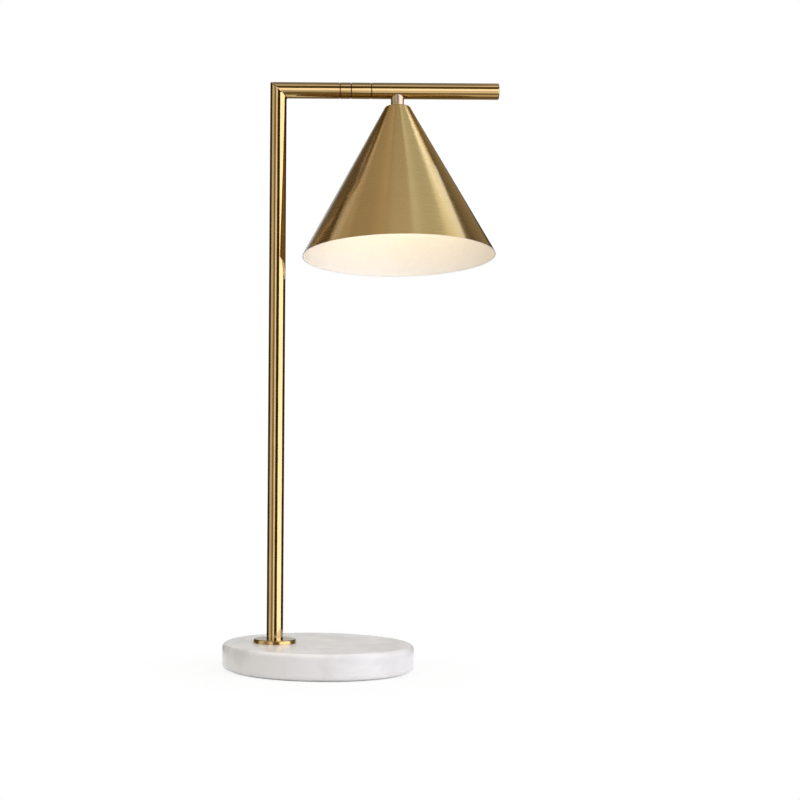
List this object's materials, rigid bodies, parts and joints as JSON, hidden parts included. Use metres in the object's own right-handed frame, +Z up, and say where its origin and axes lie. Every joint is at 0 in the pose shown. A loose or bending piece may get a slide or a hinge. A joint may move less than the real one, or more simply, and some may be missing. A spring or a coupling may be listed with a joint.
{
  "type": "desk lamp",
  "caption": "Brass desk lamp: round stone base, off-centre post with a mitred corner, and an arm that turns on its own axis to tilt a cone shade.",
  "frame": {"origin": "centre of the base's underside, on the surface that the lamp stands on", "axes": "+Z up; +X from the post along the arm to its tip; -Y towards the viewer, the way the shade is tilted at rest"},
  "size_m": [0.265, 0.2103, 0.5715],
  "materials": {
    "satin_brass": "satin, lacquered",
    "brushed_brass": "brushed round the cone, lacquered, white enamel inside",
    "plain_brass": "turned and polished",
    "white_stone": "polished, faint grey veins",
    "rubber_pad": "thin matt grey non-slip sheet",
    "black_plastic": "moulded",
    "white_plastic": "moulded",
    "white_ceramic": "fired, unglazed",
    "zinc_steel": "zinc plated",
    "nickel": "nickel plated",
    "fibre": "pressed fibre",
    "wire_insulation": "clear to white insulation",
    "opal": "opal diffuser, lit"
  },
  "bodies": {
    "stand": {"foot_pad": "rubber_pad", "stone_base": "white_stone", "cord_gland": "black_plastic", "terminal_block": "white_plastic", "terminal_screws": "zinc_steel", "base_washer": "zinc_steel", "base_lock_washer": "zinc_steel", "base_nut": "zinc_steel", "post_nipple": "zinc_steel", "base_flange": "satin_brass", "post_foot_bush": "plain_brass", "post_tube": "satin_brass", "arm_stub": "satin_brass", "post_wires": "wire_insulation", "swivel_socket": "satin_brass", "swivel_spindle": "zinc_steel", "friction_washer": "fibre", "disc_spring": "zinc_steel"},
    "swivel_arm": {"swivel_sleeve": "satin_brass", "stop_screw": "zinc_steel", "arm_tube": "satin_brass", "arm_end_cap": "satin_brass", "shade_neck": "plain_brass", "neck_nipple": "zinc_steel", "arm_wires": "wire_insulation", "shade": "brushed_brass", "shade_washer": "zinc_steel", "shade_nut": "zinc_steel", "socket_cap": "white_plastic", "socket_body": "white_plastic", "socket_core": "white_ceramic", "socket_screw_shell": "nickel", "socket_contact": "plain_brass", "bulb_screw_cap": "nickel", "bulb_tip": "nickel", "bulb_housing": "white_plastic", "bulb_globe": "opal"}
  },
  "joints": [
    {"name": "arm_swivel", "type": "hinge", "parent": "stand", "child": "swivel_arm", "pos_m": [0.028, 0, 0.5635], "axis": [1, 0, 0], "range_deg": [-141.2, 158.8]}
  ]
}
